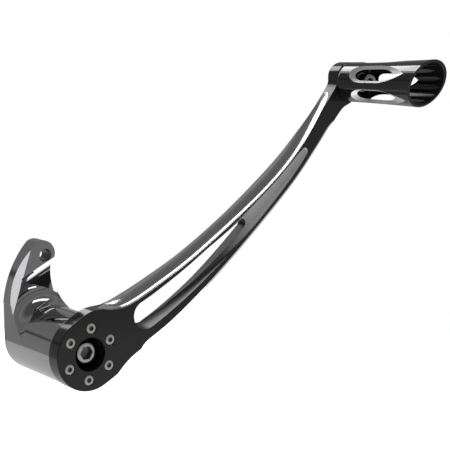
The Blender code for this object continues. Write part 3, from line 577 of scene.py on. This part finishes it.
def on_line(share):
    """(x, z, half width, direction) of the arm's middle line at a share of its reach."""
    x = share * reach
    place = next((i for i, point in enumerate(middle_line[1:-1], 1) if point[0] >= x), 1)
    low, high = middle_line[place - 1], middle_line[place]
    part = (x - low[0]) / (high[0] - low[0])
    x, z, half = (a + (b - a) * part for a, b in zip(low, high))
    before, after = middle_line[max(place - 2, 0)], middle_line[min(place + 1, len(middle_line) - 1)]
    return x, z, half, Vector((after[0] - before[0], 0, after[1] - before[1])).normalized()


def swept_circle_outline(stations, end_steps):
    """The outline swept by a circle of changing radius along stations of (x, z, radius)."""
    upper, lower, ways = [], [], []
    last = len(stations) - 1
    for place, (x, z, radius) in enumerate(stations):
        before, after = stations[max(place - 1, 0)], stations[min(place + 1, last)]
        way = Vector((after[0] - before[0], after[1] - before[1])).normalized()
        ways.append(math.atan2(way.y, way.x))
        upper.append((x - way.y * radius, z + way.x * radius))
        lower.append((x + way.y * radius, z - way.x * radius))
    quarter = math.pi / 2
    x, z, radius = stations[-1]
    far_end = arc((x, z), radius, ways[-1] - quarter, ways[-1] + quarter, end_steps)
    x, z, radius = stations[0]
    near_end = arc((x, z), radius, ways[0] + quarter, ways[0] + 3 * quarter, end_steps)
    return lower[1:-1] + far_end + upper[-2:0:-1] + near_end


def swept(name, stations, sides):
    """A round bar through stations of (centre, sideways direction, half width, half depth along Y)."""
    shape = bmesh.new()
    rings = []
    for centre, sideways, half, depth in stations:
        along = sideways.cross(Vector((0, 1, 0)))
        turn = Matrix((sideways * half, Vector((0, depth, 0)), along)).transposed()
        placed = Matrix.Translation(centre) @ turn.to_4x4()
        ring = bmesh.ops.create_circle(shape, segments=sides, radius=1.0, matrix=placed)["verts"]
        rings.append(list({edge for vert in ring for edge in vert.link_edges}))
    return bridged(name, shape, rings)


arm_arc_middle = (-0.233, 0.0, 0.548)
arm_bright = bright_cut("bright_cut_aluminium", arm_arc_middle, 0.17)
slot_black = gloss_black("slot_wall_black", (0.0085, 0.0085, 0.0090), (0.0130, 0.0130, 0.0135), 0.45, 0.22)
dish_finish_and_shade = bright_cut("dish_cut_aluminium_painted_shade", arm_arc_middle, 0.42)
dish_nodes = dish_finish_and_shade.node_tree
dish_shader = dish_nodes.nodes["Principled BSDF"]
dish_place = Shade(dish_nodes, None).node("ShaderNodeTexCoord", output=3)
dish_along = dish_place.node("ShaderNodeSeparateXYZ", output=0, Vector=dish_place)
# Painted shade: the dish is painted dark along the slot and fades to its bright metal just past the slot's
# end.
dish_shade_full_to, dish_shade_gone_from = 0.112, 0.140
dish_out_of_shade = dish_along.node("ShaderNodeMapRange", _0=dish_along, _1=dish_shade_full_to, _2=dish_shade_gone_from)
dish_bright = Shade(dish_nodes, dish_shader.inputs["Base Color"].links[0].from_socket)
dish_painted_shade = (0.10, 0.10, 0.103, 1)
dish_colour_and_shade = dish_along.node(
    "ShaderNodeMix", {"data_type": "RGBA"}, 2, _0=dish_out_of_shade, _6=dish_painted_shade, _7=dish_bright
)
wear(dish_shader, Base_Color=dish_colour_and_shade)
arm_outline = swept_circle_outline(fine_line, 96)
arm_finishes = (arm_black, arm_bright, dish_finish_and_shade, slot_black)
arm_bevel = 0.0008
arm_plate = plate("black_arm", arm_outline, arm_front, arm_back, *arm_finishes, bevel=arm_bevel)
top_flute = (
    (0.055, -0.0012, 0.0020),
    (0.077, 0.0005, 0.0020),
    (0.111, 0.0036, 0.0020),
    (0.145, 0.0057, 0.0020),
    (0.200, 0.0061, 0.0020),
    (0.372, 0.0051, 0.0020),
    (0.522, 0.0048, 0.0020),
    (0.650, 0.0056, 0.0020),
    (0.740, 0.0052, 0.0020),
    (0.811, 0.0041, 0.0028),
    (0.880, 0.0018, 0.0050),
    (0.930, 0.0010, 0.0072),
    (0.955, -0.0008, 0.0075),
)
flute_radius = 0.0100
stations = []
for share, depth, behind in smooth_curve(top_flute, 10):
    x, z, half, way = on_line(share)
    upward = Vector((-way.z, 0, way.x))
    centre = Vector((x, arm_front + behind, z)) + upward * (half - depth + flute_radius)
    stations.append((centre, upward, flute_radius, flute_radius))
carve(arm_plate, swept("top flute", stations, 96), 1)

cove_radius, cove_width, cove_depth = 0.0040, 0.0026, 0.0022
cove_start, cove_end, cove_run_out, cove_rise, cove_steps = 0.125, 0.920, 0.045, 1.2, 140
chord = math.hypot(cove_width, cove_depth)
lift = math.sqrt(cove_radius**2 - chord**2 / 4)
stations = []
for step in range(cove_steps + 1):
    share = cove_start + (cove_end - cove_start) * step / cove_steps
    from_end = min(share - cove_start, cove_end - share)
    lift_off = cove_rise * cove_depth * max(0, 1 - from_end / cove_run_out) ** 2
    x, z, half, way = on_line(share)
    downward = Vector((way.z, 0, -way.x))
    out = half - cove_width / 2 + lift * cove_depth / chord + lift_off
    y = arm_front + cove_depth / 2 - lift * cove_width / chord - lift_off
    stations.append((Vector((x, y, z)) + downward * out, downward, cove_radius, cove_radius))
carve(arm_plate, swept("lower cove", stations, 64), 1)

dish = (
    (0.1906, 0.0000, 0.0100, 0.0177),
    (0.2850, 0.0000, 0.0094, 0.0130),
    (0.3890, 0.0000, 0.0086, 0.0082),
    (0.4750, -0.0003, 0.0078, 0.0045),
    (0.5630, -0.0007, 0.0068, 0.0031),
    (0.6730, -0.0006, 0.0053, 0.0026),
    (0.7680, -0.0001, 0.0040, 0.0017),
    (0.8020, -0.0002, 0.0029, 0.0010),
)
middles = []
for share, offset, half, depth in smooth_curve(dish, 10):
    x, z, _, way = on_line(share)
    upward = Vector((-way.z, 0, way.x))
    middles.append((Vector((x, arm_front, z)) + upward * offset, upward, half, depth))


def rounded_off(station, outward):
    """Shrinking stations beyond the end of a dish, which close it with a round end."""
    centre, upward, half, depth = station
    parts = [math.radians(angle) for angle in (*range(8, 73, 8), 79, 85, 88)]
    return [
        (centre + outward * half * math.sin(part), upward, half * math.cos(part), depth * math.cos(part))
        for part in parts
    ]


near_end = rounded_off(middles[0], (middles[0][0] - middles[1][0]).normalized())
far_end = rounded_off(middles[-1], (middles[-1][0] - middles[-2][0]).normalized())
carve(arm_plate, swept("dish", near_end[::-1] + middles + far_end, 96), 2)

slot = (
    (0.1906, 0.0000, 0.0074),
    (0.2850, 0.0000, 0.0071),
    (0.3890, 0.0001, 0.0063),
    (0.4750, 0.0003, 0.0050),
    (0.5575, 0.0003, 0.0033),
)
slot_line = []
for share, offset, half in smooth_curve(slot, 12):
    x, z, _, way = on_line(share)
    slot_line.append((x - way.z * offset, z + way.x * offset, half))
slot_outline = swept_circle_outline(slot_line, 48)
carve(arm_plate, plate("slot", slot_outline, arm_front - over, arm_back + over), 3)

peg_centre = (reach, rise)
head_bore, peg_bore = 0.0115, 0.0043
drill(arm_plate, head_bore, arm_front - over, arm_back + over, (0, 0), sides=128)
drill(arm_plate, peg_bore, arm_front - over, arm_back + over, peg_centre)
screw_count, screw_circle, first_screw = 6, 0.0175, math.radians(26.2)
screw_places = []
for place in range(screw_count):
    angle = first_screw + math.tau * place / screw_count
    screw_places.append((screw_circle * math.cos(angle), screw_circle * math.sin(angle)))
head_depth, head_hole, hole_edge, shank_hole = 0.0045, 0.00385, 0.0002, 0.0023
head_seat = arm_front + head_depth
for centre in screw_places:
    step_drill = [
        (0, arm_front - over),
        (head_hole + hole_edge, arm_front - over),
        (head_hole + hole_edge, arm_front),
        (head_hole, arm_front + hole_edge),
        (head_hole, head_seat),
        (shank_hole, head_seat),
        (shank_hole, arm_back + over),
        (0, arm_back + over),
    ]
    carve(arm_plate, turned("screw drill", step_drill, 64, centre=centre))
crisp(arm_plate)
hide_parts("brake_arm")
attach(arm_plate, "lever")

# ---- arm screws ------------------------------------------------------------------------------------------
# Six stainless socket-head screws that hold the arm to the hub, sunk flush in counterbores.
# Cold forged, with a knurled side, a chamfered rim and a broached hexagon socket, whose inside is painted
# darker as shade.
# Painted shade: every screw's socket is lined with a steel darker than its head.
socket_shade_dark, socket_shade_light = (0.17, 0.168, 0.16), (0.29, 0.285, 0.27)
shaded_socket_steel = turned_steel("socket_steel_painted_shade", socket_shade_dark, socket_shade_light, 0.30, (0, 0), 0.0003)


def socket_screw(name, node, body, finish, centre, head_height, shank, key, socket_depth, sides=120):
    """A knurled socket-head screw that fills the box of a CAD node, its head towards -Y."""
    low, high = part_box(node)
    head = (high.x - low.x) / 2
    under = low.y + head_height
    chamfer, tip_chamfer, knurl_depth = head * 0.10, shank * 0.2, 0.025
    rounded_rim = ((1.6, 0.0), (0.9, 0.15), (0.3, 0.55), (0.0, 1.3))
    profile = [
        (0, low.y),
        *[(head - chamfer * inward, low.y + chamfer * down) for inward, down in rounded_rim],
        (head, under - chamfer * 0.3),
        (head - chamfer * 0.3, under),
        (shank, under),
        (shank, high.y - tip_chamfer),
        (shank - tip_chamfer, high.y),
        (0, high.y),
    ]
    made = turned(name, profile, sides, finish, shaded_socket_steel, centre=centre)
    middle = Vector((centre[0], 0, centre[1]))
    for vert in made.data.vertices:
        flat = Vector((vert.co.x, 0, vert.co.z)) - middle
        turn = round(math.atan2(flat.z, flat.x) / math.tau * sides)
        on_side = flat.length > head * (1 - knurl_depth / 5) and vert.co.y < under - chamfer * 0.2
        if turn % 2 and on_side:
            vert.co = Vector((middle.x, vert.co.y, middle.z)) + flat * (1 - knurl_depth)
    corner = key / 2 / math.cos(math.pi / 6)
    mouth = corner * 0.09
    key_profile = [
        (0, low.y - over),
        (corner + 2 * mouth, low.y - over),
        (corner + 2 * mouth, low.y - mouth),
        (corner, low.y + mouth),
        (corner, low.y + socket_depth),
        (0, low.y + socket_depth + corner * 0.3),
    ]
    carve(made, turned("key", key_profile, 6, centre=centre), 1)
    crisp(made, 25)
    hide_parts(node)
    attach(made, body)
    return made


for place, centre in enumerate(screw_places, 1):
    stainless = turned_steel(f"stainless_{place}", (0.42, 0.405, 0.375), (0.66, 0.64, 0.60), 0.30, centre)
    screw = socket_screw(
        f"arm_socket_screw_{place}",
        f"arm_screw_{place}",
        "lever",
        stainless,
        centre,
        head_height=0.0040,
        shank=0.0020,
        key=0.0030,
        socket_depth=0.0022,
    )

# ---- pivot screw and washer ------------------------------------------------------------------------------
# The screw in the middle of the head keeps the hub on its shaft. Bright alloy steel, forged and knurled.
# A blackened washer under it covers the end of the front bush.
blackened, blackened_shader, blackened_place = new_finish("oil_blackened_steel", 0.42, 0.8)
oil = speckle(blackened_place, 700.0)
wear(
    blackened_shader,
    Base_Color=tint(oil, (0.012, 0.012, 0.013), (0.035, 0.034, 0.033)),
    Roughness=oil * 0.2 + 0.32,
    Normal=raised(blackened_place, oil, 0.000008, 0.5),
)
pivot_ring = flat_ring("black_pivot_ring", "pivot_washer", tapped_radius, blackened)
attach(pivot_ring, "shaft")
alloy = turned_steel("bright_alloy_steel", (0.46, 0.46, 0.46), (0.68, 0.68, 0.67), 0.26, (0, 0), 0.0002)
pivot_bolt = socket_screw(
    "pivot_socket_screw",
    "pivot_screw",
    "shaft",
    alloy,
    (0, 0),
    head_height=0.0095,
    shank=0.0047,
    key=0.0079,
    socket_depth=0.0050,
    sides=144,
)

# ---- toe peg ---------------------------------------------------------------------------------------------
# The tube under the rider's toe, which flares a little to a slanted mouth. Turned aluminium, coated
# gloss black, with five teardrop slots whose bevelled walls are cut bright afterwards.
peg_black = gloss_black("peg_coat_black", (0.0065, 0.0065, 0.0070), (0.0095, 0.0095, 0.0100), 0.09)
peg_bright = bright_cut("peg_slot_aluminium", (reach, 0.0, rise), 0.48, 0.0003)
root_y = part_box("toe_peg")[1].y
root_radius, mouth_radius, peg_length = 0.0150, 0.0171, 0.0770
root_edge, rim_edge = 0.0010, 0.0004
wall, web, web_round = 0.0022, 0.0100, 0.0006
slant_up, slant_along = 0.417, 0.090


def peg_radius(out):
    """Outer radius of the peg at a distance out from its root."""
    return root_radius + (mouth_radius - root_radius) * (out / peg_length) ** 1.5


outs = [peg_length * step / 64 for step in range(2, 64)]
inner_mouth = mouth_radius - wall
mouth_y = root_y - peg_length
peg_profile = [
    (0, root_y),
    (root_radius - root_edge, root_y),
    (root_radius - root_edge * 0.3, root_y - root_edge * 0.3),
    (root_radius, root_y - root_edge),
    *[(peg_radius(out), root_y - out) for out in outs],
    (mouth_radius, mouth_y + rim_edge),
    (mouth_radius - rim_edge * 0.3, mouth_y + rim_edge * 0.3),
    (mouth_radius - rim_edge, mouth_y),
    (inner_mouth + rim_edge, mouth_y),
    (inner_mouth + rim_edge * 0.3, mouth_y + rim_edge * 0.3),
    (inner_mouth, mouth_y + rim_edge),
    *[(peg_radius(out) - wall, root_y - out) for out in outs[::-1] if out > web + 0.0010],
    (peg_radius(web) - wall, root_y - web - web_round),
    (peg_radius(web) - wall - web_round, root_y - web),
    (0, root_y - web),
]
peg_tube = turned("slotted_toe_peg", peg_profile, 192, peg_black, peg_bright, centre=peg_centre)
peg_root = Vector((peg_centre[0], root_y, peg_centre[1]))
for vert in peg_tube.data.vertices:
    across = vert.co - peg_root
    out = -across.y
    share = max(0, (out - web) / (peg_length - web))
    slanted = out + share * (slant_along * across.x + slant_up * across.z)
    if share:
        flare = peg_radius(slanted) / peg_radius(out)
        vert.co = peg_root + Vector((across.x * flare, -slanted, across.z * flare))


def teardrop(steps, bluntness, round_end=0.22, straight=0.50):
    """Half of a slot's outline, in shares of its length and width, from its round end to its point."""
    half = []
    for step in range(steps + 1):
        along = (1 - math.cos(math.pi * step / steps)) / 2
        start = min(1, along / round_end)
        closing = max(0, (along - straight) / (1 - straight))
        half.append((along, math.sqrt(1 - (1 - start) ** 2) * (1 - closing**bluntness)))
    return half


slot_count, first_slot = 5, math.radians(9)
slot_inside = (0.0165, 0.0390, math.radians(20.5), 3.5)
slot_outside = (0.0117, 0.0560, math.radians(26.5), 1.8)
for place in range(slot_count):
    angle = first_slot + math.tau * place / slot_count
    radial = Vector((math.cos(angle), 0, math.sin(angle)))
    sideways = Vector((-radial.z, 0, radial.x))
    shape = bmesh.new()
    rings = []
    for (start, length, half_angle, bluntness), depth, flat in (
        (slot_inside, wall, root_radius / 2),
        (slot_inside, wall, None),
        (slot_outside, 0.0, None),
        (slot_outside, 0.0, mouth_radius + wall),
    ):
        half = teardrop(40, bluntness)
        places = []
        for along, width in half + [(along, -width) for along, width in half[-2:0:-1]]:
            out = start + length * along
            radius = peg_radius(out) - depth
            up = flat or radius * math.cos(half_angle * width)
            across = radius * math.sin(half_angle * width)
            places.append(peg_root + radial * up + sideways * across - Vector((0, out, 0)))
        rings.append(ring_of(shape, places))
    carve(peg_tube, bridged("slot cutter", shape, rings), 1)
drill(peg_tube, peg_bore, root_y - web - over, root_y + over, peg_centre)
crisp(peg_tube, 24)
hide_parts("toe_peg")
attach(peg_tube, "lever")

# ---- peg screw and washer --------------------------------------------------------------------------------
# The screw at the bottom of the peg clamps it to the arm's end, over a plain washer.
# Both are steel, turned or stamped, and zinc plated.
peg_zinc = turned_steel("peg_screw_zinc", (0.36, 0.36, 0.36), (0.52, 0.52, 0.52), 0.32, peg_centre)
peg_ring = flat_ring("zinc_peg_ring", "peg_washer", peg_bore, peg_zinc, centre=peg_centre)
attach(peg_ring, "lever")
peg_bolt = socket_screw(
    "peg_socket_screw",
    "peg_screw",
    "lever",
    peg_zinc,
    peg_centre,
    head_height=0.0080,
    shank=0.0040,
    key=0.0060,
    socket_depth=0.0042,
    sides=96,
)

# ---- studio ----------------------------------------------------------------------------------------------
# A pale round floor well below the part, with a dimmer card just over it that is seen only in reflections.
# The soft boxes stand above, behind, below and to the left. Most light one piece alone, for the lines of
# light on its edges and flutes.
floor_middle, floor_radius = (0.09, -0.07), 0.65


def studio_disc(name, height, glow):
    """A round pale sheet on the level, which also glows a little."""
    shape = bmesh.new()
    place = Matrix.Translation((*floor_middle, height))
    bmesh.ops.create_circle(shape, cap_ends=True, segments=96, radius=floor_radius, matrix=place)
    pale, shader, coordinates = new_finish(f"{name}_paper", 0.9, 0.0)
    wear(shader, Base_Color=tint(speckle(coordinates, 3.0), (0.90, 0.90, 0.90), (0.94, 0.94, 0.94)))
    shader.inputs["Emission Color"].default_value = (1.0, 1.0, 1.0, 1.0)
    shader.inputs["Emission Strength"].default_value = glow
    disc = settle(name, shape, pale)
    return disc


floor_height = cad_low.z - 0.12
studio_floor = studio_disc("studio_floor", floor_height, 0.9)
studio_floor.visible_glossy = False
bounce_card = studio_disc("bounce_card", floor_height + 0.001, 0.30)
bounce_card.visible_camera = False
bounce_card.visible_diffuse = False
bounce_card.visible_shadow = False

middle_of_part = (cad_low + cad_high) / 2


def soft_box(name, place, width, height, power, aim=middle_of_part, only=None, never=None):
    """A rectangular area light that faces the aim. It may light only one piece, or all but one."""
    lamp = bpy.data.lights.new(name, "AREA")
    lamp.shape = "RECTANGLE"
    lamp.size, lamp.size_y, lamp.energy = width, height, power
    box = bpy.data.objects.new(name, lamp)
    box.location = place
    box.rotation_mode = "QUATERNION"
    box.rotation_quaternion = (Vector(aim) - Vector(place)).to_track_quat("-Z", "Y")
    bpy.context.scene.collection.objects.link(box)
    if only or never:
        chosen = bpy.data.collections.new(f"{name}_pieces")
        chosen.objects.link(only or never)
        chosen.collection_objects[0].light_linking.link_state = "INCLUDE" if only else "EXCLUDE"
        box.light_linking.receiver_collection = chosen


low_height = floor_height + 0.005
soft_box("rear_soft_box", (0.10, 0.63, 0.65), 0.50, 0.58, 2.8, never=hub_body)
soft_box("hub_soft_box", (0.10, 0.63, 0.65), 0.50, 0.30, 0.35, only=hub_body)
soft_box("ridge_soft_box", (0.245, -0.285, 0.805), 0.60, 0.16, 0.9, (-0.01, -0.03, 0.04), only=hub_body)
soft_box("edge_soft_box", (0.37, -0.29, 0.83), 0.26, 0.12, 1.0, (0, -0.095, 0.02), only=arm_plate)
soft_box("peg_soft_box", (0.17, 0.56, 0.78), 0.40, 0.16, 1.4, only=peg_tube)
soft_box("boss_soft_box", (0.17, 0.56, 0.78), 0.40, 0.16, 0.4, only=arm_plate)
soft_box("left_soft_box", (-0.85, -0.53, 0.29), 0.25, 0.25, 0.28, (-0.02, -0.035, 0.04), only=hub_body)
soft_box("low_soft_box", (0.27, -0.07, low_height), 0.20, 0.20, 0.24, (0.27, -0.07, 1.0))
scoop_place = (0.28, -0.08, low_height - 0.001)
soft_box("scoop_soft_box", scoop_place, 0.34, 0.34, 0.45, (0.28, -0.08, 1.0), only=hub_body)

studio = bpy.data.worlds.new("studio")
studio.use_nodes = True
bpy.context.scene.world = studio
air = Shade(studio.node_tree, None)
heading = air.node("ShaderNodeTexCoord", output=0)
steepness = air.node("ShaderNodeSeparateXYZ", output=2, Vector=heading)
sky = air.node(
    "ShaderNodeValToRGB",
    {
        "stops": [
            (0.0, (0.42, 0.42, 0.42)),
            (0.575, (0.36, 0.36, 0.36)),
            (0.595, (0.12, 0.12, 0.12)),
            (0.61, (0.12, 0.12, 0.12)),
            (0.63, (0.32, 0.32, 0.32)),
            (0.80, (0.28, 0.28, 0.28)),
            (0.84, (0.38, 0.38, 0.38)),
            (0.88, (0.30, 0.30, 0.30)),
            (0.93, (0.16, 0.16, 0.16)),
            (1.0, (0.14, 0.14, 0.14)),
        ]
    },
    Fac=steepness * 0.5 + 0.5,
)
seen = air.node("ShaderNodeLightPath", output=0)
colour = air.node("ShaderNodeMix", {"data_type": "RGBA"}, 2, _0=seen, _6=sky, _7=(1.0, 1.0, 1.0, 1))
studio.node_tree.links.new(colour.socket, studio.node_tree.nodes["Background"].inputs["Color"])

bpy.context.scene.view_settings.view_transform = "Standard"
azimuth, elevation = math.radians(-38.088), math.radians(8.343)
back = Vector(
    (math.sin(azimuth) * math.cos(elevation), -math.cos(azimuth) * math.cos(elevation), math.sin(elevation))
)
lens = bpy.data.cameras.new("camera")
lens.sensor_width = 36.0
lens.lens = 92.8
lens.clip_start, lens.clip_end = 0.01, 20.0
camera = bpy.data.objects.new("camera", lens)
camera.location = (-0.39041, -0.73808, 0.19605)
camera.rotation_mode = "QUATERNION"
camera.rotation_quaternion = (-back).to_track_quat("-Z", "Y")
bpy.context.scene.collection.objects.link(camera)
bpy.context.scene.camera = camera
